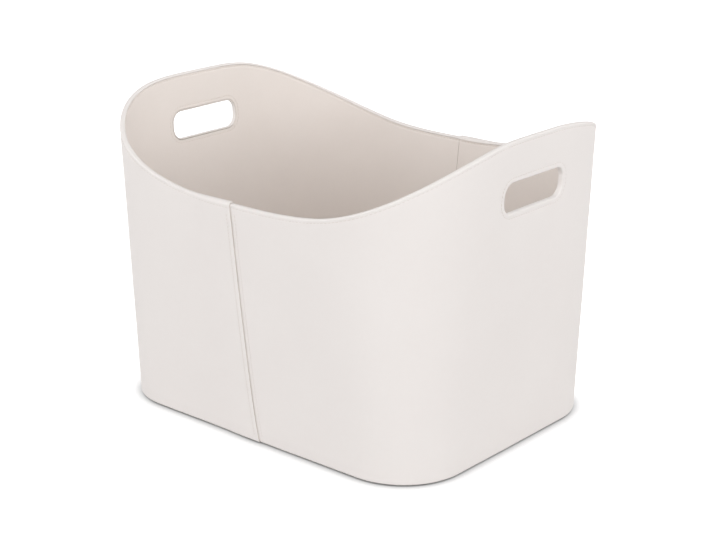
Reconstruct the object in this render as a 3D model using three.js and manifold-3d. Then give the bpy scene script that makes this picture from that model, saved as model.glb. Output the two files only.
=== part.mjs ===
// An open kindling box with two hand slots: a stiff wall, wrapped outside and lined inside with
// smooth faux leather, on a stiff base.
//
// The wall is ruled between a rounded rectangle on the floor and a wider, rounder one at the height
// of the ends. Its rim stays level round each end and sweeps down to the middle of the long sides.
// Everything round the wall is built at a "turn", the share of the way round the box: 0 is the
// middle of the front, 0.25 the middle of the right end, 0.5 the middle of the back and 0.75 the
// middle of the left end. "Inset" is a distance in from the wall's outer face, seen from above.
// Units are millimetres, +X points to the right end and +Z up, and the box stands on Z = 0.

import * as THREE from 'three';
import { mergeVertices } from 'three/addons/utils/BufferGeometryUtils.js';
import Module from 'manifold-3d';

// ---------- Driving dimensions ----------

const baseLength = 415; // footprint, end to end
const baseWidth = 316; // footprint, front to back
const baseCornerRadius = 70;

const topLength = 454; // plan outline at the height of the ends
const topWidth = 368;
const topCornerRadius = 121;

const endHeight = 325; // rim above the floor at each end
const sideHeight = 252; // rim above the floor at the middle of each long side
const rimLevelFrom = 0.956; // share of a quarter turn, from the side, where the rim gets level
const rimEaseToEnd = 1.26; // on the way up to an end: above 1, the rim stays low for longer
const rimEaseFromEnd = 1.06; // on the way down past an end: nearer 1, the rim stays up for longer

const skin = 1.2; // outer faux leather
const wallBoard = 2.4; // stiff core of the wall
const lining = 1.2; // inner faux leather
const glueGap = 0.3; // between any two pieces that are glued face to face
const rimBend = 0.8; // inner radius of the skin where it folds over the edge of the board

const seamLap = 12; // how far the tucked skin runs on under the one on top
const lapRamp = 10; // length over which the top skin climbs on to the tucked one
const lapClear = 1; // from the end of that climb to the edge of the tucked skin

const slotLength = 94; // clear hand slot, front to back
const slotHeight = 30;
const slotCornerRadius = 12;
const slotBelowRim = 41; // grip left between the slot and the rim

const baseBoard = 3;
const baseCover = 1.2; // sheet glued under the base
const baseCoverInset = 4;
const hemWidth = 16; // skin turned in under the base board

const floorPanel = 2; // loose stiffener on the inner floor
const floorCover = 1; // faux leather wrapped over that panel

// ---------- How finely the curves are cut ----------

const quarterSteps = 22;
const wallRows = 4;
const bendSteps = 3;
const rampSteps = 4;
const slotArcSteps = 6;

// ---------- Derived sizes ----------

const wallThickness = skin + glueGap + wallBoard + glueGap + lining;
const boardInset = skin + glueGap;
const liningInset = boardInset + wallBoard + glueGap;

const foldBend = Math.min(rimBend, wallBoard / 2); // the bend can't be wider than the board's edge
const rimRadius = foldBend + skin;
const boardDrop = rimRadius; // top of the board, below the rim
const liningDrop = rimRadius + glueGap; // top of the lining, below the rim
const lapRaise = skin + glueGap; // how far the skin on top stands off at a lap

const skinBottom = baseCover + glueGap;
const baseBoardBottom = skinBottom + skin + glueGap;
const baseBoardTop = baseBoardBottom + baseBoard;
const liningBottom = baseBoardTop + glueGap;
const floorPanelBottom = liningBottom;
const floorPanelTop = floorPanelBottom + floorPanel;
const floorCoverTop = floorPanelTop + glueGap + floorCover;

const slotCentreHeight = endHeight - slotBelowRim - slotHeight / 2;

// ---------- The form of the wall ----------

// A rounded rectangle seen from above, counter-clockwise from the middle of the front.
function roundedOutline(length, width, radius) {
  const x = length / 2;
  const y = width / 2;
  const quarter = Math.PI / 2;
  const path = new THREE.Path();
  path.moveTo(0, -y);
  path.lineTo(x - radius, -y);
  path.absarc(x - radius, radius - y, radius, -quarter, 0, false);
  path.lineTo(x, y - radius);
  path.absarc(x - radius, y - radius, radius, 0, quarter, false);
  path.lineTo(radius - x, y);
  path.absarc(radius - x, y - radius, radius, quarter, 2 * quarter, false);
  path.lineTo(-x, radius - y);
  path.absarc(radius - x, radius - y, radius, 2 * quarter, 3 * quarter, false);
  path.lineTo(0, -y);
  return path;
}

const baseOutline = roundedOutline(baseLength, baseWidth, baseCornerRadius);
const topOutline = roundedOutline(topLength, topWidth, topCornerRadius);
const turnPerMillimetre = 1 / baseOutline.getLength();

// A point of an outline, moved square to it, inwards by the inset.
function outlinePoint(path, turn, inset) {
  const share = THREE.MathUtils.euclideanModulo(turn, 1);
  const along = path.getTangent(share);
  const inward = new THREE.Vector2(-along.y, along.x);
  return path.getPoint(share).addScaledVector(inward, inset);
}

function wallPoint(turn, inset, height) {
  const foot = outlinePoint(baseOutline, turn, inset);
  const head = outlinePoint(topOutline, turn, inset);
  const place = foot.lerp(head, height / endHeight);
  return new THREE.Vector3(place.x, place.y, height);
}

// Height of the rim: level over the ends, with one sweep down to the middle of each long side. Going
// round, it comes up to an end a little later than it goes down again, the same on both halves.
function rimHeight(turn) {
  const way = THREE.MathUtils.euclideanModulo(4 * turn, 2); // 0 at a side, 1 at an end
  const fromSide = 1 - Math.abs(1 - way);
  const ease = way < 1 ? rimEaseToEnd : rimEaseFromEnd;
  const share = Math.min(fromSide / rimLevelFrom, 1) ** ease;
  return THREE.MathUtils.lerp(sideHeight, endHeight, THREE.MathUtils.smootherstep(share, 0, 1));
}

function evenTurns(from, to, steps) {
  return Array.from({ length: steps + 1 }, (_, i) => THREE.MathUtils.lerp(from, to, i / steps));
}

// ---------- Making solids ----------

const manifold = await Module();
manifold.setup();

function toSolid(geometry) {
  const bare = geometry.clone();
  bare.deleteAttribute('normal');
  bare.deleteAttribute('uv');
  const merged = mergeVertices(bare, 1e-4);
  return new manifold.Manifold(
    new manifold.Mesh({
      numProp: 3,
      vertProperties: new Float32Array(merged.attributes.position.array),
      triVerts: new Uint32Array(merged.index.array),
    }),
  );
}

function toGeometry(solid) {
  const mesh = solid.getMesh();
  const geometry = new THREE.BufferGeometry();
  geometry.setAttribute('position', new THREE.BufferAttribute(mesh.vertProperties, 3));
  geometry.setIndex(new THREE.BufferAttribute(mesh.triVerts, 1));
  geometry.computeVertexNormals();
  return geometry;
}

// A sheet with thickness. Both faces are grids of points, one column to each turn, whose rows
// follow the sheet's profile from its lower edge, with the outer face to the outside of the box.
function sheetGeometry(outerFace, innerFace) {
  const columns = outerFace.length;
  const rows = outerFace[0].length;
  const points = [...outerFace.flat(), ...innerFace.flat()];
  const outer = (column, row) => column * rows + row;
  const inner = (column, row) => columns * rows + outer(column, row);
  const triangles = [];
  const quad = (a, b, c, d) => triangles.push(a, b, c, a, c, d);

  for (let i = 0; i < columns - 1; i++) {
    for (let k = 0; k < rows - 1; k++) {
      quad(outer(i, k), outer(i + 1, k), outer(i + 1, k + 1), outer(i, k + 1));
      quad(inner(i, k), inner(i, k + 1), inner(i + 1, k + 1), inner(i + 1, k));
    }
    quad(inner(i, 0), inner(i + 1, 0), outer(i + 1, 0), outer(i, 0));
    const top = rows - 1;
    quad(outer(i, top), outer(i + 1, top), inner(i + 1, top), inner(i, top));
  }
  for (let k = 0; k < rows - 1; k++) {
    quad(outer(0, k), outer(0, k + 1), inner(0, k + 1), inner(0, k));
    const end = columns - 1;
    quad(inner(end, k), inner(end, k + 1), outer(end, k + 1), outer(end, k));
  }
  const geometry = new THREE.BufferGeometry().setFromPoints(points);
  geometry.setIndex(triangles);
  return geometry;
}

// A band of wall between two insets, from a flat lower edge up to a given drop below the rim.
function wallBand(turns, outerInset, innerInset, bottom, drop) {
  const face = (inset) =>
    turns.map((turn) =>
      evenTurns(bottom, rimHeight(turn) - drop, wallRows).map((height) =>
        wallPoint(turn, inset, height),
      ),
    );
  return toSolid(sheetGeometry(face(outerInset), face(innerInset)));
}

// A flat plate that follows the wall's plan at its own lower face.
function floorPlate(inset, bottom, top) {
  const corners = evenTurns(0, 1, 4 * quarterSteps).slice(0, -1);
  const points = corners.map((turn) => {
    const place = wallPoint(turn, inset, bottom);
    return new THREE.Vector2(place.x, place.y);
  });
  const plate = new THREE.ExtrudeGeometry(new THREE.Shape(points), {
    depth: top - bottom,
    bevelEnabled: false,
  });
  return plate.translate(0, 0, bottom);
}

// ---------- Hand slots ----------

// A bar along X through the right end, with the slot's outline grown by a margin all round.
function slotBar(margin) {
  const y = slotLength / 2 + margin;
  const z = slotHeight / 2 + margin;
  const radius = Math.min(slotCornerRadius, slotHeight / 2) + margin;
  const quarter = Math.PI / 2;
  const outline = new THREE.Shape();
  outline.moveTo(radius - y, -z);
  outline.absarc(y - radius, radius - z, radius, -quarter, 0, false);
  outline.absarc(y - radius, z - radius, radius, 0, quarter, false);
  outline.absarc(radius - y, z - radius, radius, quarter, 2 * quarter, false);
  outline.absarc(radius - y, radius - z, radius, 2 * quarter, 3 * quarter, false);
  const bar = new THREE.ExtrudeGeometry(outline, {
    depth: topLength,
    curveSegments: slotArcSteps,
    bevelEnabled: false,
  });
  bar.rotateX(quarter);
  bar.rotateZ(quarter);
  bar.translate(0, 0, slotCentreHeight);
  return toSolid(bar);
}

const clearSlot = slotBar(0);
const slotBehindSkin = slotBar(skin + glueGap);

// ---------- Outer skin ----------

// Profile of the skin at one turn: up the wall and over the rim to the wall's inner face. Depth is
// measured into the skin from its outer face, and below 0 it is off that face.
function skinProfile(turn, depth) {
  const rim = rimHeight(turn);
  const bendHeight = rim - rimRadius;
  const bendRadius = rimRadius - depth;
  const wall = evenTurns(skinBottom, bendHeight, wallRows).map((height) => [depth, height]);
  const bend = (centreInset, from) =>
    evenTurns(from, from + Math.PI / 2, bendSteps).map((angle) => [
      centreInset - bendRadius * Math.cos(angle),
      bendHeight + bendRadius * Math.sin(angle),
    ]);
  const overEdge = bend(rimRadius, 0).slice(1);
  const backDown = bend(wallThickness - rimRadius, Math.PI / 2);
  return [...wall, ...overEdge, ...backDown].map(([inset, height]) =>
    wallPoint(turn, inset, height),
  );
}

const tuckedEdge = -seamLap * turnPerMillimetre; // under the other skin at the front
const topEdge = 0.5; // on top of the other skin at the back
const rampEnd = topEdge - (seamLap + lapClear) * turnPerMillimetre;
const rampStart = rampEnd - lapRamp * turnPerMillimetre;

// How far the skin stands off the board's face: nothing, but for the lap at the back.
function skinRaise(turn) {
  return lapRaise * THREE.MathUtils.smoothstep(turn, rampStart, rampEnd);
}

// The skin's hem, turned in flat under the base board. It stops short of both laps.
function hem() {
  const clear = (seamLap + lapClear) * turnPerMillimetre;
  const turns = evenTurns(clear, topEdge - clear, 2 * quarterSteps);
  const face = (height) =>
    turns.map((turn) => [wallPoint(turn, hemWidth, height), wallPoint(turn, 0, height)]);
  return toSolid(sheetGeometry(face(skinBottom), face(skinBottom + skin)));
}

// The skin's turned edge through the hand slot, flush with the lining.
function slotCollar() {
  const turns = evenTurns(0, topEdge, 2 * quarterSteps);
  const band = wallBand(turns, skin / 2, wallThickness, skinBottom, boardDrop);
  return band.intersect(slotBar(skin));
}

// The right half of the skin. The left half is the same piece turned half round.
function outerSkin() {
  const even = evenTurns(0, topEdge, 2 * quarterSteps).filter(
    (turn) => turn < rampStart - lapClear * turnPerMillimetre,
  );
  const turns = [tuckedEdge, ...even, ...evenTurns(rampStart, rampEnd, rampSteps), topEdge];
  const face = (depth) => turns.map((turn) => skinProfile(turn, depth - skinRaise(turn)));
  const sheet = toSolid(sheetGeometry(face(0), face(skin)));
  return toGeometry(sheet.add(hem()).add(slotCollar()).subtract(clearSlot));
}

// ---------- Core and lining of the wall ----------

// Each half stops at a butt joint in the middle of the front and the back.
const halfJoint = (glueGap / 2) * turnPerMillimetre;
const halfTurns = evenTurns(halfJoint, 0.5 - halfJoint, 2 * quarterSteps);

function wallBoardHalf() {
  const inner = boardInset + wallBoard;
  const band = wallBand(halfTurns, boardInset, inner, baseBoardBottom, boardDrop);
  return toGeometry(band.subtract(slotBehindSkin));
}

function wallLiningHalf() {
  const band = wallBand(halfTurns, liningInset, wallThickness, liningBottom, liningDrop);
  return toGeometry(band.subtract(slotBehindSkin));
}

// ---------- Base and floor ----------

function baseCoverSheet() {
  return floorPlate(baseCoverInset, 0, baseCover);
}

function baseBoardPlate() {
  return floorPlate(liningInset, baseBoardBottom, baseBoardTop);
}

function floorPanelPlate() {
  const inset = wallThickness + glueGap + floorCover + glueGap;
  return floorPlate(inset, floorPanelBottom, floorPanelTop);
}

// A shallow tray, open below, over the floor panel.
function floorPanelCover() {
  const outside = wallThickness + glueGap;
  const whole = toSolid(floorPlate(outside, floorPanelBottom, floorCoverTop));
  const below = floorPanelBottom - floorCover;
  const hollow = floorPlate(outside + floorCover, floorPanelBottom, floorPanelTop + glueGap);
  const cut = toSolid(hollow).add(
    toSolid(floorPlate(outside + floorCover, below, floorPanelBottom + glueGap)),
  );
  return toGeometry(whole.subtract(cut));
}

// ---------- Materials and assembly ----------

function material(color, roughness) {
  return new THREE.MeshStandardMaterial({ color, roughness, metalness: 0 });
}

const fauxLeather = material(0xebe6e3, 0.5);
const innerFauxLeather = material(0xe8e1dc, 0.55);
const greyBoard = material(0xa89b8a, 0.9);
const baseFelt = material(0x8d8883, 0.95);

const group = new THREE.Group();

function place(name, geometry, look, turned = false) {
  const mesh = new THREE.Mesh(geometry, look);
  mesh.name = name;
  mesh.rotation.z = turned ? Math.PI : 0;
  group.add(mesh);
}

function placeHalves(name, geometry, look) {
  place(`${name}_right`, geometry, look);
  place(`${name}_left`, geometry, look, true);
}

placeHalves('outer_skin', outerSkin(), fauxLeather);
placeHalves('wall_board', wallBoardHalf(), greyBoard);
placeHalves('wall_lining', wallLiningHalf(), innerFauxLeather);
place('base_cover', baseCoverSheet(), baseFelt);
place('base_board', baseBoardPlate(), greyBoard);
place('floor_panel', floorPanelPlate(), greyBoard);
place('floor_panel_cover', floorPanelCover(), innerFauxLeather);

export default group;
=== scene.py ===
import math

import bmesh
import bpy
import numpy as np
from mathutils import Matrix, Vector


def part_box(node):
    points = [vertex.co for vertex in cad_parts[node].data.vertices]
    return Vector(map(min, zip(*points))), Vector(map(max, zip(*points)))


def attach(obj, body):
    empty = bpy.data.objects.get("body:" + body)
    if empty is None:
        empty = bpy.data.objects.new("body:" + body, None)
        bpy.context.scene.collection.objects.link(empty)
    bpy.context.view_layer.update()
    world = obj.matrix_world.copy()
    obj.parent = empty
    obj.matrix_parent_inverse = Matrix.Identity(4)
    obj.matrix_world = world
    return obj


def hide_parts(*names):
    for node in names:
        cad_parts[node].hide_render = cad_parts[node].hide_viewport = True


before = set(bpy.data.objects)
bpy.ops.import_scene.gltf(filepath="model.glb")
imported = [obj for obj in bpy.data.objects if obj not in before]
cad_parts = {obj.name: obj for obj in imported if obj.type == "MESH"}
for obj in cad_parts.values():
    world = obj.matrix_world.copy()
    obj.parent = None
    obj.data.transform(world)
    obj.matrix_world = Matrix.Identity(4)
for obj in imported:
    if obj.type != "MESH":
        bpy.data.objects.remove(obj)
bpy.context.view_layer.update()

mm = 0.001

# ---------- Outer skin: two halves of smooth faux leather ----------
# Each half is one sheet, glued round the stiff wall from the middle of the front to the middle of
# the back. It is folded over the rim, turned through the hand slot and turned in under the base.
# At each seam one half laps over the other. A half is modelled flat, then wrapped round the wall.

base_length, base_width, base_corner = 415 * mm, 316 * mm, 70 * mm
top_length, top_width, top_corner = 454 * mm, 368 * mm, 121 * mm
end_height, side_height = 325 * mm, 252 * mm


def round_length(length, width, corner):
    return 2 * (length + width) - 8 * corner + math.tau * corner


foot_round = round_length(base_length, base_width, base_corner)
top_round = round_length(top_length, top_width, top_corner)
half_round, quarter_round = foot_round / 2, foot_round / 4


def outline(turn, length, width, corner):
    """Points and outward directions of a rounded rectangle, at shares of the way round it."""
    quarter, share = np.divmod(np.mod(turn, 1) * 4, 1)
    along = np.where(quarter % 2 == 0, share, 1 - share) * round_length(length, width, corner) / 4
    side, end = length / 2 - corner, width / 2 - corner
    angle = np.clip((along - side) / corner, 0, math.pi / 2)
    past = np.clip(along - side - corner * math.pi / 2, 0, end)
    x = np.minimum(along, side) + corner * np.sin(angle)
    y = past - end - corner * np.cos(angle)
    mirror_x = np.where(quarter >= 2, -1, 1)
    mirror_y = np.where((quarter == 1) | (quarter == 2), -1, 1)
    points = np.stack([x * mirror_x, y * mirror_y], 1)
    outward = np.stack([np.sin(angle) * mirror_x, -np.cos(angle) * mirror_y], 1)
    return points, outward


def wall_place(turn, inset, height):
    """Places on the wall, which runs straight from the foot's outline to the top one's."""
    foot, foot_out = outline(turn, base_length, base_width, base_corner)
    head, head_out = outline(turn, top_length, top_width, top_corner)
    inset = np.asarray(inset).reshape(-1, 1)
    lift = (height / end_height).reshape(-1, 1)
    plan = (foot - inset * foot_out) * (1 - lift) + (head - inset * head_out) * lift
    return np.column_stack([plan, height])


rim_level_from, rim_ease_to_end, rim_ease_from_end = 0.956, 1.26, 1.06


def rim_height(turn):
    """The rim sweeps up from the long sides to the ends, going round from the middle of the
    front. Past an end it stays high a little longer than before it."""
    way = np.mod(4 * turn, 2)
    ease = np.where(way < 1, rim_ease_to_end, rim_ease_from_end)
    share = np.minimum((1 - np.abs(1 - way)) / rim_level_from, 1) ** ease
    return side_height + (end_height - side_height) * share**3 * (6 * share**2 - 15 * share + 10)


def smooth_step(value, low, high):
    share = np.clip((value - low) / (high - low), 0, 1)
    return share * share * (3 - 2 * share)


lean_low, lean_rise = 4.1 * mm, 7.4 * mm
lean_foot, lean_foot_height = 6.9 * mm, 62 * mm
lean_full, lean_end = 20 * mm, 130 * mm


def seam_lean(x, height):
    """The seams aren't quite plumb: they drift along the wall, most of all near the base."""
    from_seam = np.minimum(np.abs(x), np.abs(x - half_round))
    drift = lean_low - lean_rise * height / side_height
    drift = drift + lean_foot * np.exp(-height / lean_foot_height)
    return drift * (1 - smooth_step(from_seam, lean_full, lean_end))


wall_thickness = 5.4 * mm
rim_radius = 2.0 * mm
bend_line = end_height - rim_radius
rim_strip, floor_strip = 24 * mm, 8 * mm
hem_level = 3 * mm


def wall_height(x, y):
    """Height of a flat place. The strips along the rim and the floor keep their width, and what
    lies between them stretches with the rim."""
    bend = rim_height(x / foot_round) - rim_radius
    stretch = (bend - rim_strip - floor_strip) / (bend_line - rim_strip - floor_strip)
    height = floor_strip + (y - floor_strip) * stretch
    height = np.where(y > bend_line - rim_strip, bend + y - bend_line, height)
    return np.where(y < floor_strip, y, height)


def wrap(flat, stand_off=0):
    """Lays flat points round the wall. Flat x is the way round at the foot, flat y the height as
    it is at the ends, and flat z is out from the wall's face. What stands off the wall moves out
    from its middle, so over the rim it moves up. The hem under the base moves out as a whole."""
    x, y, z = flat.T
    height = wall_height(x, y)
    core = np.clip(-z, rim_radius, wall_thickness - rim_radius)
    over = np.maximum(y - bend_line, 0)
    lift = stand_off / rim_radius
    inset = -z - np.where(y < hem_level, rim_radius, z + core) * lift
    turn = (x + seam_lean(x, height)) / foot_round
    return wall_place(turn, inset, height + over * lift)


broad_wave, fine_wave = 0.12 * mm, 0.05 * mm


def wave(points):
    """Faint unevenness of a sheet that is glued to a board, as a distance off its face."""
    x, y, z = points.T
    broad = np.sin(31 * x + 1.3 * np.sin(23 * z) + 0.7) * np.sin(37 * y - 29 * z + 1.9)
    fine = np.sin(83 * x - 61 * z + 2.1 * np.sin(47 * y)) * np.sin(71 * y + 53 * z)
    return broad_wave * broad + fine_wave * fine


def read_points(piece):
    points = np.empty(len(piece.data.vertices) * 3)
    piece.data.vertices.foreach_get("co", points)
    return points.reshape(-1, 3)


def write_points(piece, points):
    piece.data.vertices.foreach_set("co", np.asarray(points, np.float32).ravel())
    piece.data.update()


def select_only(piece):
    bpy.ops.object.select_all(action="DESELECT")
    piece.select_set(True)
    bpy.context.view_layer.objects.active = piece


def edit_with(piece, wanted):
    """Enters edit mode with only the wanted vertices selected."""
    select_only(piece)
    bpy.ops.object.mode_set(mode="EDIT")
    bpy.ops.mesh.select_mode(type="VERT")
    bpy.ops.mesh.select_all(action="DESELECT")
    bpy.ops.object.mode_set(mode="OBJECT")
    piece.data.vertices.foreach_set("select", np.asarray(wanted, bool))
    bpy.ops.object.mode_set(mode="EDIT")


def edit_all(piece):
    """Enters edit mode with the whole piece selected."""
    select_only(piece)
    bpy.ops.object.mode_set(mode="EDIT")
    bpy.ops.mesh.select_all(action="SELECT")


def leave_edit():
    bpy.ops.object.mode_set(mode="OBJECT")


def flat_sheet(name, columns, rows, off=0):
    """A flat grid with its columns and rows where they are given."""
    bpy.ops.object.select_all(action="DESELECT")
    bpy.ops.mesh.primitive_grid_add(
        x_subdivisions=len(columns) - 1, y_subdivisions=len(rows) - 1, size=1
    )
    sheet = bpy.context.object
    sheet.name = sheet.data.name = name
    points = read_points(sheet)
    column = np.rint((points[:, 0] + 0.5) * (len(columns) - 1)).astype(int)
    row = np.rint((points[:, 1] + 0.5) * (len(rows) - 1)).astype(int)
    places = [np.asarray(columns)[column], np.asarray(rows)[row], np.full(len(points), off)]
    write_points(sheet, np.column_stack(places))
    return sheet


def fold_edge(path):
    """Extrudes the selected edge along a path of (flat y, flat z) places, given from its start."""
    for (y0, z0), (y1, z1) in zip(path, path[1:]):
        bpy.ops.mesh.extrude_region_move(
            TRANSFORM_OT_translate={"value": (0, y1 - y0, z1 - z0)}
        )


def arc(centre_y, centre_z, radius, start, end, steps):
    """Places on an arc, by angles in degrees from straight out of the wall."""
    angles = np.radians(np.linspace(start, end, steps + 1))
    return [(centre_y + radius * math.sin(a), centre_z + radius * math.cos(a)) for a in angles]


slot_length, slot_height, slot_corner = 94 * mm, 30 * mm, 12 * mm
slot_centre = 269 * mm
slot_window, window_search = 12 * mm, 4 * mm


def slot_stretch(height):
    return 1 + (top_round / foot_round - 1) * height / end_height


def slot_place(ring):
    """Flat places of points on the end wall, given as (across the slot's middle, height). Any
    height between the two strips shows how much the wall stretches there."""
    x = quarter_round + ring[0] / slot_stretch(ring[1])
    sample = 200 * mm
    stretch = (wall_height(x, sample) - floor_strip) / (sample - floor_strip)
    return x, floor_strip + (ring[1] - floor_strip) / stretch


def open_slot(sheet, rings):
    """Cuts a window in a flat sheet where the hand slot is, and draws its edge in, ring by ring.
    A ring is a (margin round the clear slot, flat z)."""
    select_only(sheet)
    bpy.ops.object.mode_set(mode="EDIT")
    bpy.ops.mesh.select_mode(type="FACE")
    mesh = bmesh.from_edit_mesh(sheet.data)
    half_length = slot_length / 2 + slot_window
    half_height = slot_height / 2 + slot_window
    for face in mesh.faces:
        centre = face.calc_center_median()
        inside = abs(centre.x - quarter_round) < half_length
        face.select_set(inside and abs(centre.y - slot_centre) < half_height)
    bpy.ops.mesh.delete(type="FACE")
    bpy.ops.mesh.select_mode(type="EDGE")
    mesh = bmesh.from_edit_mesh(sheet.data)
    for edge in mesh.edges:
        middle = (edge.verts[0].co + edge.verts[1].co) / 2
        near = abs(middle.x - quarter_round) < half_length + window_search
        near = near and abs(middle.y - slot_centre) < half_height + window_search
        edge.select_set(edge.is_boundary and near)
    flat_length, flat_height = slot_length / 2 - slot_corner, slot_height / 2 - slot_corner
    for margin, off in rings:
        bpy.ops.mesh.extrude_region_move()
        mesh = bmesh.from_edit_mesh(sheet.data)
        drawn = [vert for vert in mesh.verts if vert.select]
        x, y, _ = np.array([vert.co for vert in drawn]).T
        height = wall_height(x, y)
        across = (x - quarter_round) * slot_stretch(height)
        anchor = np.stack([
            np.clip(across, -flat_length, flat_length),
            slot_centre + np.clip(height - slot_centre, -flat_height, flat_height),
        ])
        way = np.stack([across, height]) - anchor
        ring = anchor + way / np.linalg.norm(way, axis=0) * (slot_corner + margin)
        for vert, a, b in zip(drawn, *slot_place(ring)):
            vert.co = (a, b, off)
        bmesh.update_edit_mesh(sheet.data)
    leave_edit()


def thicken(sheet, thickness, edge_round, finish):
    """Gives a sheet its unevenness and its thickness, behind its face, and rounds its cut edges,
    where the woven backing shows."""
    sheet.data.materials.append(finish)
    sheet.data.materials.append(sheet_backing.material)
    select_only(sheet)
    normals = np.empty(len(sheet.data.vertices) * 3)
    sheet.data.vertices.foreach_get("normal", normals)
    points = read_points(sheet)
    write_points(sheet, points + normals.reshape(-1, 3) * wave(points)[:, None])
    body = sheet.modifiers.new("thickness", "SOLIDIFY")
    body.thickness = thickness
    body.offset = -1
    body.use_even_offset = True
    body.material_offset_rim = 1
    edge = sheet.modifiers.new("cut edges", "BEVEL")
    edge.width = edge_round
    edge.segments = 2
    edge.angle_limit = math.radians(62)
    edge.use_clamp_overlap = False
    bpy.ops.object.modifier_apply(modifier=body.name)
    bpy.ops.object.modifier_apply(modifier=edge.name)
    bpy.ops.object.shade_smooth_by_angle(angle=math.radians(50))


def turned_copy(piece, name):
    """The same piece for the other half of the box: a copy turned half round."""
    copy = piece.copy()
    copy.data = piece.data.copy()
    copy.name = copy.data.name = name
    bpy.context.collection.objects.link(copy)
    copy.data.transform(Matrix.Rotation(math.pi, 4, "Z"))
    return copy


skin, glue_gap = 1.2 * mm, 0.3 * mm
seam_lap, lap_clear, lap_ramp = 12 * mm, 1 * mm, 45 * mm
ramp_end = half_round - seam_lap - lap_clear
ramp_start = ramp_end - lap_ramp

stitch_below_rim, stitch_from_seam, second_row_from_seam = 4.0 * mm, 5.0 * mm, 4.0 * mm
stitch_from_slot = 5.0 * mm
groove_depth, groove_width = 0.22 * mm, 0.75 * mm
groove_starts, groove_full, groove_stops = 6 * mm, 9 * mm, 2 * mm


def groove(distance):
    """How deep the sheet is pressed in, at a distance from a row of stitches."""
    return groove_depth * np.exp(-((distance / groove_width) ** 2))


def skin_stand_off(flat):
    """How far the right skin stands off the wall: up on the lap, and down along its stitches."""
    x, y, _ = flat.T
    lap = (skin + glue_gap) * smooth_step(x, ramp_start, ramp_end)
    rim_row = groove(y - (end_height - stitch_below_rim))
    above_foot = smooth_step(y, groove_starts, groove_full)
    below_rim = smooth_step(-y, -bend_line, groove_stops - bend_line)
    seam_row = groove(x - (half_round - stitch_from_seam)) + groove(x - second_row_from_seam)
    return lap - rim_row - seam_row * (above_foot * below_rim)


class Signal:
    """The output of a shader node, so that shader maths reads as an expression."""

    def __init__(self, wiring, socket):
        self.wiring = wiring
        self.socket = socket

    def maths(self, operation, *values):
        return self.wiring.add(
            "ShaderNodeMath", {"operation": operation}, dict(enumerate(values))
        )

    def __add__(self, other):
        return self.maths("ADD", self, other)

    def __mul__(self, other):
        return self.maths("MULTIPLY", self, other)

    def __pow__(self, other):
        return self.maths("POWER", self, other)

    __radd__ = __add__
    __rmul__ = __mul__


class Wiring:
    """The nodes of one shader. Its patterns all lie on one kind of texture coordinate."""

    def __init__(self, tree, coordinate="Object"):
        self.tree = tree
        self.place = self.add("ShaderNodeTexCoord", {}, {}, output=coordinate)

    def put(self, socket, value):
        if isinstance(value, Signal):
            self.tree.links.new(value.socket, socket)
        else:
            socket.default_value = value

    def add(self, kind, settings, values, output=0):
        """Adds a node, with its settings first and then its sockets, by name or number. Returns
        one of its outputs."""
        node = self.tree.nodes.new(kind)
        for name, value in settings.items():
            setattr(node, name, value)
        for socket, value in values.items():
            self.put(node.inputs[socket], value)
        return Signal(self, node.outputs[output])

    def noise(self, scale, detail=2, roughness=0.5, output="Fac"):
        values = {"Vector": self.place, "Scale": scale, "Detail": detail, "Roughness": roughness}
        return self.add("ShaderNodeTexNoise", {}, values, output)

    def mix(self, share, first, second):
        """Mixes two colours."""
        values = {0: share, 6: first, 7: second}
        return self.add("ShaderNodeMix", {"data_type": "RGBA"}, values, output=2)

    def vector(self, operation, values, output=0):
        return self.add("ShaderNodeVectorMath", {"operation": operation}, values, output)

    def shift(self, amount, strength):
        """The pattern's place, moved about by a noise colour."""
        centred = self.vector("SUBTRACT", {0: amount, 1: (0.5, 0.5, 0.5)})
        scaled = self.vector("SCALE", {0: centred, "Scale": strength})
        return self.vector("ADD", {0: self.place, 1: scaled})

    def bump(self, height, strength, distance, under=None):
        values = {"Strength": strength, "Distance": distance, "Height": height}
        if under:
            values["Normal"] = under
        return self.add("ShaderNodeBump", {}, values)


class Finish(Wiring):
    """A material built round one Principled shader."""

    def __init__(self, name, **constants):
        self.material = bpy.data.materials.new(name)
        self.material.use_nodes = True
        super().__init__(self.material.node_tree)
        self.shader = self.tree.nodes["Principled BSDF"]
        self.set(**constants)

    def set(self, **values):
        for name, value in values.items():
            self.put(self.shader.inputs[name.replace("_", " ")], value)


def shade(red, green, blue):
    """A colour as it is seen, 0 to 255, as a shader takes it."""
    seen = [value / 255 for value in (red, green, blue)]
    return (*[v / 12.92 if v <= 0.04045 else ((v + 0.055) / 1.055) ** 2.4 for v in seen], 1)


def faux_leather(name, pale, deep):
    """Coated cloth: even colour with soft clouds, a fine pebble grain, and faint glue waves."""
    finish = Finish(name, Specular_IOR_Level=0.16)
    clouds = finish.noise(11, 3, 0.55)
    specks = finish.noise(240, 3, 0.6)
    finish.set(Base_Color=finish.mix(clouds * 0.7 + specks * 0.3, deep, pale))
    moved = finish.shift(finish.noise(620, output="Color"), 0.0006)
    cells = finish.add(
        "ShaderNodeTexVoronoi", {"feature": "DISTANCE_TO_EDGE"}, {"Vector": moved, "Scale": 950}
    )
    pebble = finish.add(
        "ShaderNodeMapRange",
        {"interpolation_type": "SMOOTHSTEP"},
        {"Value": cells, "From Min": 0, "From Max": 0.22, "To Min": 0, "To Max": 1},
    )
    fine = finish.noise(2600, 2, 0.6)
    grain = finish.bump(pebble * 0.7 + fine * 0.5, 0.22, 0.00006)
    waves = finish.bump(finish.noise(26, 2, 0.4), 0.18, 0.0012, grain)
    finish.set(Normal=waves, Roughness=0.48 + clouds * 0.1 + pebble * 0.05)
    return finish.material


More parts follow.
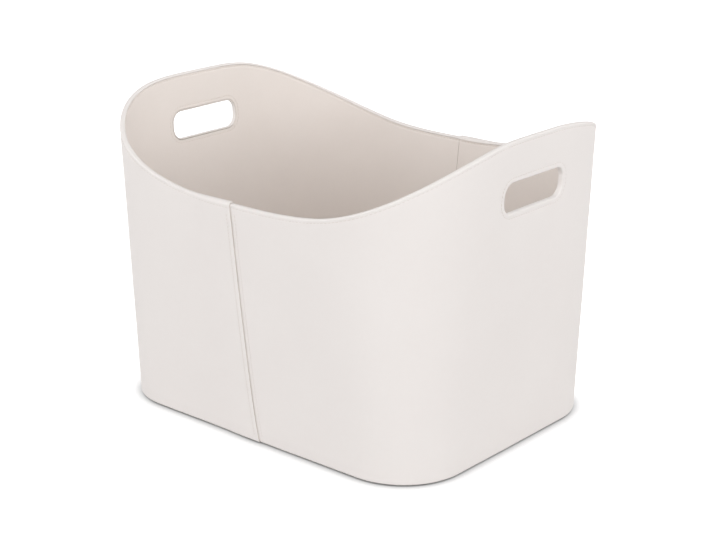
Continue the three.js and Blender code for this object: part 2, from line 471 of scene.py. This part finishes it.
outer_faux_leather = faux_leather("outer_faux_leather", shade(240, 235, 232), shade(234, 228, 225))
sheet_backing = Finish("sheet_backing", Roughness=0.9, Specular_IOR_Level=0.2)
knit = sheet_backing.noise(1400, 3, 0.6)
sheet_backing.set(
    Base_Color=sheet_backing.mix(knit, shade(208, 200, 193), shade(230, 224, 218)),
    Normal=sheet_backing.bump(knit, 0.6, 0.0002),
)


def spread(start, end, step):
    count = max(1, math.ceil(abs(end - start) / step))
    return list(np.linspace(start, end, count + 1))


wall_step, slot_step, ramp_step = 5 * mm, 2.5 * mm, 4.5 * mm
slot_reach = slot_length / 2 + slot_window
groove_steps = [-2.2, -1.3, -0.8, -0.4, 0, 0.4, 0.8, 1.3, 2.2]


def wall_columns(start, end):
    """Columns along one half of the wall, closer together round the hand slot."""
    left, right = quarter_round - slot_reach, quarter_round + slot_reach
    return (
        spread(start, left - slot_step, wall_step)
        + spread(left, right, slot_step)
        + spread(right + slot_step, end, wall_step)
    )


low_row_step, slot_row_step = 6 * mm, 2.8 * mm
wall_rows = (
    spread(12 * mm, slot_centre - 34 * mm, low_row_step)
    + spread(slot_centre - 31 * mm, bend_line - 20 * mm, slot_row_step)
    + [bend_line - below * mm for below in (16, 12, 8, 5.5)]
)
rim_groove_rows = [end_height - stitch_below_rim + step * mm for step in groove_steps[:-1]]
skin_columns = sorted(
    [-seam_lap, -seam_lap / 2, 0, 1 * mm]
    + [second_row_from_seam + step * mm for step in groove_steps]
    + wall_columns(9 * mm, ramp_start - 4 * mm)
    + spread(ramp_start, ramp_end, ramp_step)
    + [half_round - stitch_from_seam + step * mm for step in groove_steps]
    + [half_round - 1.6 * mm, half_round - 0.8 * mm, half_round]
)
hem_width, hem_bend, hem_start = 16 * mm, 1.6 * mm, 0.5 * mm
skin_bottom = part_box("outer_skin_right")[0].z
hem_line = skin_bottom + hem_bend
skin_rows = sorted([hem_line, 4 * mm, 6 * mm, 8 * mm] + wall_rows + rim_groove_rows + [bend_line])
tiny = 0.01 * mm

outer_skin_right = flat_sheet("leather_skin_right", skin_columns, skin_rows)
flat_points = read_points(outer_skin_right)
edit_with(outer_skin_right, flat_points[:, 1] > bend_line - tiny)
over_rim = arc(bend_line, -rim_radius, rim_radius, 0, 90, 6)
down_inside = arc(bend_line, rim_radius - wall_thickness, rim_radius, 90, 180, 6)
fold_edge(over_rim + down_inside)
leave_edit()

# The hem leaves out the part that lies under the other half's lap.
flat_points = read_points(outer_skin_right)
lower_edge = flat_points[:, 1] < hem_line + tiny
edit_with(outer_skin_right, lower_edge & (flat_points[:, 0] > hem_start))
under_base = arc(hem_line, -hem_bend, hem_bend, 0, -90, 4)
fold_edge(under_base + [(skin_bottom, -6 * mm), (skin_bottom, -hem_width)])
leave_edit()

slot_bend, slot_flat = 1.6 * mm, 8 * mm
slot_rings = (
    [(slot_flat, 0)]
    + [(stitch_from_slot - step * mm, -groove(step * mm)) for step in groove_steps]
    + [(2.2 * mm, 0)]
    + [(slot_bend * (1 - math.sin(a)), slot_bend * (math.cos(a) - 1))
       for a in np.radians(np.linspace(0, 90, 7))]
    + [(0, -wall_thickness / 2), (0, -wall_thickness)]
)
open_slot(outer_skin_right, slot_rings)
flat_points = read_points(outer_skin_right)
write_points(outer_skin_right, wrap(flat_points, skin_stand_off(flat_points)))
thicken(outer_skin_right, skin, 0.25 * mm, outer_faux_leather)
outer_skin_left = turned_copy(outer_skin_right, "leather_skin_left")

for piece, node in (
    (outer_skin_right, "outer_skin_right"),
    (outer_skin_left, "outer_skin_left"),
):
    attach(piece, "root")
    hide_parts(node)

# ---------- Lining: two halves of the skin's faux leather, painted darker and warmer as shade ---
# Glued to the inside of the wall, from the inner floor to just below the folded rim. The halves
# butt at the seams. Round each hand slot the lining stops against the skin's turned edge.

lining, butt_gap = 1.2 * mm, 0.15 * mm
lining_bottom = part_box("wall_lining_right")[0].z
lining_top = end_height - 2.3 * mm
lining_groove = 1.8


def lining_stand_off(flat):
    """How far the lining stands off the wall: well down along its stitches."""
    return -lining_groove * groove(flat[:, 1] - (end_height - stitch_below_rim))


lining_columns = sorted(
    [butt_gap, 1 * mm, 3 * mm]
    + wall_columns(6 * mm, half_round - 6 * mm)
    + [half_round - 3 * mm, half_round - 1 * mm, half_round - butt_gap]
)
lining_rows = sorted(
    [lining_bottom, lining_bottom + 1 * mm]
    + wall_rows
    + rim_groove_rows[:-1]
    + [lining_top - 0.6 * mm, lining_top]
)
lining_rings = (
    [(slot_flat, -wall_thickness)]
    + [(stitch_from_slot - step * mm, groove(step * mm) - wall_thickness)
       for step in groove_steps]
    + [(skin + 0.9 * mm, -wall_thickness)]
    + [(skin + 0.3 * mm, 0.15 * mm - wall_thickness)]
)
wall_lining_right = flat_sheet("lining_right", lining_columns, lining_rows, -wall_thickness)
open_slot(wall_lining_right, lining_rings)
edit_all(wall_lining_right)
bpy.ops.mesh.flip_normals()
leave_edit()
flat_points = read_points(wall_lining_right)
write_points(wall_lining_right, wrap(flat_points, lining_stand_off(flat_points)))
# The lining's colours are the skin's, painted darker and warmer: painted shade of the box's
# inside.
inner_faux_leather = faux_leather("inner_faux_leather", shade(236, 229, 224), shade(230, 222, 216))
thicken(wall_lining_right, lining, 0.2 * mm, inner_faux_leather)
wall_lining_left = turned_copy(wall_lining_right, "lining_left")

for piece, node in (
    (wall_lining_right, "wall_lining_right"),
    (wall_lining_left, "wall_lining_left"),
):
    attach(piece, "root")
    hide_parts(node)

# ---------- Stitching ----------
# One row of thread all round below the rim, a row on each side of both seams, and a ring round
# each hand slot, outside and inside. Each stitch is a short length of thread that dips into the
# sheet at both ends.

stitch_length, stitch_pitch, thread = 3.2 * mm, 4.0 * mm, 0.5 * mm
stitch_cuts, end_slimming, end_dip = (-0.32, 0, 0.32), 0.45, 0.32 * mm


def stitch_row(name, length):
    """A straight row of stitches along x from 0, with its middle at height 0."""
    count = round(length / stitch_pitch)
    pitch = length / count
    bpy.ops.object.select_all(action="DESELECT")
    bpy.ops.mesh.primitive_cylinder_add(
        vertices=6, radius=thread / 2, depth=stitch_length, rotation=(0, math.pi / 2, 0)
    )
    row = bpy.context.object
    row.name = row.data.name = name
    bpy.ops.object.transform_apply(rotation=True)
    bpy.ops.object.mode_set(mode="EDIT")
    for cut in stitch_cuts:
        bpy.ops.mesh.select_all(action="SELECT")
        bpy.ops.mesh.bisect(plane_co=(cut * stitch_length, 0, 0), plane_no=(1, 0, 0))
    leave_edit()
    points = read_points(row)
    out = np.abs(points[:, 0]) / (stitch_length / 2)
    slim = 1 - end_slimming * smooth_step(out, 0.5, 1)
    points[:, 1:] *= slim[:, None]
    points[:, 2] -= end_dip * smooth_step(out, 0.4, 1)
    points[:, 0] += pitch / 2
    write_points(row, points)
    repeat = row.modifiers.new("stitches", "ARRAY")
    repeat.count = count
    repeat.use_relative_offset = False
    repeat.use_constant_offset = True
    repeat.constant_offset_displace = (pitch, 0, 0)
    bpy.ops.object.modifier_apply(modifier=repeat.name)
    bpy.ops.object.shade_smooth()
    return row


def place_row(row, start, turn_up=False):
    """The places of a straight row on the flat sheet, along the rim or up a seam."""
    points = read_points(row)
    if turn_up:
        points = np.column_stack([-points[:, 1], points[:, 0], points[:, 2]])
    return points + np.asarray(start)


def ring_row(name, margin, face, facing):
    """A ring of stitches round the right hand slot. Facing is 1 outwards and -1 inwards."""
    size = (slot_length + 2 * margin, slot_height + 2 * margin, slot_corner + margin)
    row = stitch_row(name, round_length(*size))
    points = read_points(row)
    ring, out = outline(points[:, 0] / round_length(*size), *size)
    ring = ring + out * points[:, 1:2] * facing
    off = face + facing * (points[:, 2] - sunk)
    x, y = slot_place((ring[:, 0], ring[:, 1] + slot_centre))
    write_points(row, wrap(np.column_stack([x, y, off])))
    edit_all(row)
    bpy.ops.mesh.normals_make_consistent(inside=False)
    leave_edit()
    return row


sunk = groove_depth - 0.1 * mm
rim_row_height, rim_row_start = end_height - stitch_below_rim, 2 * mm
seam_row_start, seam_row_length = 8 * mm, rim_row_height - 14 * mm

row = stitch_row("rim_stitching_outer_right", half_round - 2 * rim_row_start)
flat_points = place_row(row, (rim_row_start, rim_row_height, 0))
lap = (skin + glue_gap) * smooth_step(flat_points[:, 0], ramp_start, ramp_end)
write_points(row, wrap(flat_points, lap - sunk))
outer_rows = [row]

for name, place, stand_off in (
    ("seam_stitching_lap_back", half_round - stitch_from_seam, skin + glue_gap - sunk),
    ("seam_stitching_under_front", second_row_from_seam, -sunk),
):
    row = stitch_row(name, seam_row_length)
    flat_points = place_row(row, (place, seam_row_start, 0), turn_up=True)
    write_points(row, wrap(flat_points, stand_off))
    outer_rows.append(row)

outer_rows.append(ring_row("slot_stitching_outer_right", stitch_from_slot, 0, 1))

row = stitch_row("rim_stitching_inner_right", half_round - 2 * rim_row_start)
flat_points = place_row(row, (rim_row_start, rim_row_height, 0))
flat_points[:, 1] = 2 * rim_row_height - flat_points[:, 1]
flat_points[:, 2] = -wall_thickness - flat_points[:, 2]
write_points(row, wrap(flat_points, -sunk - (lining_groove - 1) * groove_depth))
inner_rows = [row, ring_row("slot_stitching_inner_right", stitch_from_slot, -wall_thickness, -1)]


def sewing_thread(name, pale, deep):
    finish = Finish(name, Specular_IOR_Level=0.3, Roughness=0.62)
    twist = finish.noise(1900)
    finish.set(Base_Color=finish.mix(twist, deep, pale))
    finish.set(Normal=finish.bump(twist, 0.5, 0.0001))
    return finish.material


outer_thread = sewing_thread("outer_thread", shade(232, 225, 220), shade(214, 205, 198))
# The inner thread is the outer thread painted darker and warmer: painted shade of the box's
# inside.
inner_thread = sewing_thread("inner_thread", shade(228, 219, 213), shade(210, 199, 191))
other_names = {"right": "left", "back": "front", "front": "back"}
for rows, finish, slot_name in (
    (outer_rows, outer_thread, "outer_faux_leather"),
    (inner_rows, inner_thread, "inner_faux_leather"),
):
    for row in rows:
        stem, side = row.name.rsplit("_", 1)
        for piece in (row, turned_copy(row, f"{stem}_{other_names[side]}")):
            piece.data.materials.append(finish)
            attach(piece, "root")

# ---------- Inner floor: a loose board wrapped in the lining's faux leather ----------
# A flat panel that lies on the base board inside the wall. Its cover is turned down round the
# board's edge, so the upper edge is softly rounded.

panel_low, panel_high = (corner.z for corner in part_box("floor_panel_cover"))
panel_inset = wall_thickness + glue_gap
panel_edge, panel_cover = 1.4 * mm, 1.0 * mm
panel_profile = [(panel_inset, panel_low, 1), (panel_inset, panel_high - panel_edge, 1)]
for angle in np.radians([15, 30, 45, 60, 75, 90]):
    edge_inset = panel_inset + panel_edge * (1 - math.cos(angle))
    panel_profile.append((edge_inset, panel_high - panel_edge * (1 - math.sin(angle)), 1))
for share in (0.985, 0.96, 0.93, 0.89, 0.84, 0.78, 0.71, 0.63, 0.54, 0.44, 0.33, 0.22, 0.11, 0):
    panel_profile.append((panel_inset + panel_edge, panel_high, share))

panel_columns = spread(0, foot_round, 7 * mm)
floor_cover = flat_sheet("floor_cover", panel_columns, list(range(len(panel_profile))))
flat_points = read_points(floor_cover)
panel_row = np.rint(flat_points[:, 1]).astype(int)
row_inset, row_height, row_share = np.array(panel_profile)[panel_row].T
points = wall_place(flat_points[:, 0] / foot_round, row_inset, row_height)
points[:, :2] *= row_share[:, None]
write_points(floor_cover, points)
edit_all(floor_cover)
bpy.ops.mesh.remove_doubles(threshold=0.05 * mm)
bpy.ops.mesh.normals_make_consistent(inside=False)
leave_edit()
# The cover takes the lining's colours, with their painted shade.
thicken(floor_cover, panel_cover, 0.3 * mm, inner_faux_leather)
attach(floor_cover, "root")
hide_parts("floor_panel_cover")

# ---------- Wall core and floor panel: stiff grey board ----------
# Two bent halves of grey board between the skin and the lining give the wall its shape, and a
# flat panel of the same board lies inside the floor cover. They show only through gaps.


def dress(node, finish):
    """Gives a CAD node's own mesh a finish."""
    for material_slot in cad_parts[node].material_slots:
        material_slot.material = finish.material


grey_board = Finish("grey_board", Roughness=0.85, Specular_IOR_Level=0.25)
pulp = grey_board.noise(420, 4, 0.65)
flecks = grey_board.noise(1500)
speckle = pulp * 0.6 + flecks * 0.4
grey_board.set(
    Base_Color=grey_board.mix(speckle, shade(150, 141, 128), shade(182, 173, 160)),
    Normal=grey_board.bump(pulp, 0.3, 0.0002),
)
for node in ("wall_board_right", "wall_board_left", "floor_panel"):
    dress(node, grey_board)

# ---------- Base board: hardboard ----------
# A flat plate that closes the bottom. The wall stands round it, and the felt and the skin's hem
# cover it from below, so almost nothing of it shows.

hardboard = Finish("hardboard", Roughness=0.7, Specular_IOR_Level=0.3)
chips = hardboard.noise(300, 5, 0.7)
hardboard.set(
    Base_Color=hardboard.mix(chips, shade(120, 86, 58), shade(158, 122, 88)),
    Normal=hardboard.bump(chips, 0.35, 0.0002),
)
dress("base_board", hardboard)

# ---------- Base cover: needled felt ----------
# A thin sheet glued under the hem and the base board, a little inside the wall, so that the box
# slides on a hearth without scratching it.

felt = Finish("base_felt", Roughness=0.95, Specular_IOR_Level=0.15)
fibres = felt.noise(900, 4, 0.7)
tufts = felt.noise(140, 3, 0.6)
felt.set(
    Base_Color=felt.mix(fibres * 0.6 + tufts * 0.4, shade(118, 113, 108), shade(160, 155, 149)),
    Normal=felt.bump(fibres * 0.7 + tufts * 0.3, 0.7, 0.0005),
)
dress("base_cover", felt)

# ---------- Studio: pale floor, soft light and camera ----------
# A sheet of white paper under the box and a pale surround, which is brightest at the horizon.
# The paper's glow is painted darker where the box all but touches it: a painted contact shadow,
# over the paper's real shade. Two weak lamps add to the surround.

bpy.ops.object.select_all(action="DESELECT")
bpy.ops.mesh.primitive_plane_add(size=14)
floor = bpy.context.object
floor.name = "floor"

black, white = (0, 0, 0, 1), (1, 1, 1, 1)
contact_reach, contact_contrast = 18 * mm, 1.6


def background_rays(wiring):
    """1 for rays that show the background: to the camera, or by a reflection or through glass."""
    to_camera, by_reflection, through_glass = (
        wiring.add("ShaderNodeLightPath", {}, {}, output=name)
        for name in ("Is Camera Ray", "Is Glossy Ray", "Is Transmission Ray")
    )
    return to_camera + by_reflection + through_glass


paper = Finish("studio_paper", Roughness=0.9, Specular_IOR_Level=0.1, Emission_Strength=0.95)
# Ambient occlusion dims the paper's glow near the box: a painted contact shadow.
open_floor = paper.add(
    "ShaderNodeAmbientOcclusion", {"samples": 16}, {"Distance": contact_reach}, output="AO"
)
glow_with_painted_shadow = background_rays(paper) * open_floor**contact_contrast
paper.set(Base_Color=(0.5, 0.5, 0.5, 1), Emission_Color=paper.mix(glow_with_painted_shadow, black, white))
floor.data.materials.append(paper.material)

horizon_light, light_fall = 1.83, (0.213, -0.245, -1.53)
scene = bpy.context.scene
if not scene.world:
    scene.world = bpy.data.worlds.new("studio")
scene.world.use_nodes = True
surround = Wiring(scene.world.node_tree, "Generated")
fall = surround.vector("DOT_PRODUCT", {0: surround.place, 1: light_fall}, output="Value")
background = surround.tree.nodes["Background"]
background.inputs["Strength"].default_value = 1
surround.put(
    background.inputs["Color"],
    surround.mix(background_rays(surround), fall + horizon_light, white),
)


lamp_aim, lamp_size = (0, 0, 0.15), 1.6


def lamp(name, place, power):
    light = bpy.data.lights.new(name, "AREA")
    light.shape = "RECTANGLE"
    light.size = light.size_y = lamp_size
    light.energy = power
    holder = bpy.data.objects.new(name, light)
    holder.location = place
    direction = Vector(place) - Vector(lamp_aim)
    holder.rotation_euler = direction.to_track_quat("Z", "Y").to_euler()
    bpy.context.collection.objects.link(holder)


lamp("front_light", (-0.3, -2.6, 1.7), 4.7)
lamp("right_light", (2.6, -0.2, 1.7), 5.4)

view = bpy.data.cameras.new("camera")
view.lens = 84.05
view.sensor_width = 36
camera = bpy.data.objects.new("camera", view)
camera.location = (1.0850, -1.2583, 0.7002)
camera.rotation_euler = (math.radians(90 - 18.6002), 0, math.radians(40.6553))
bpy.context.collection.objects.link(camera)
scene.camera = camera
scene.view_settings.view_transform = "Standard"
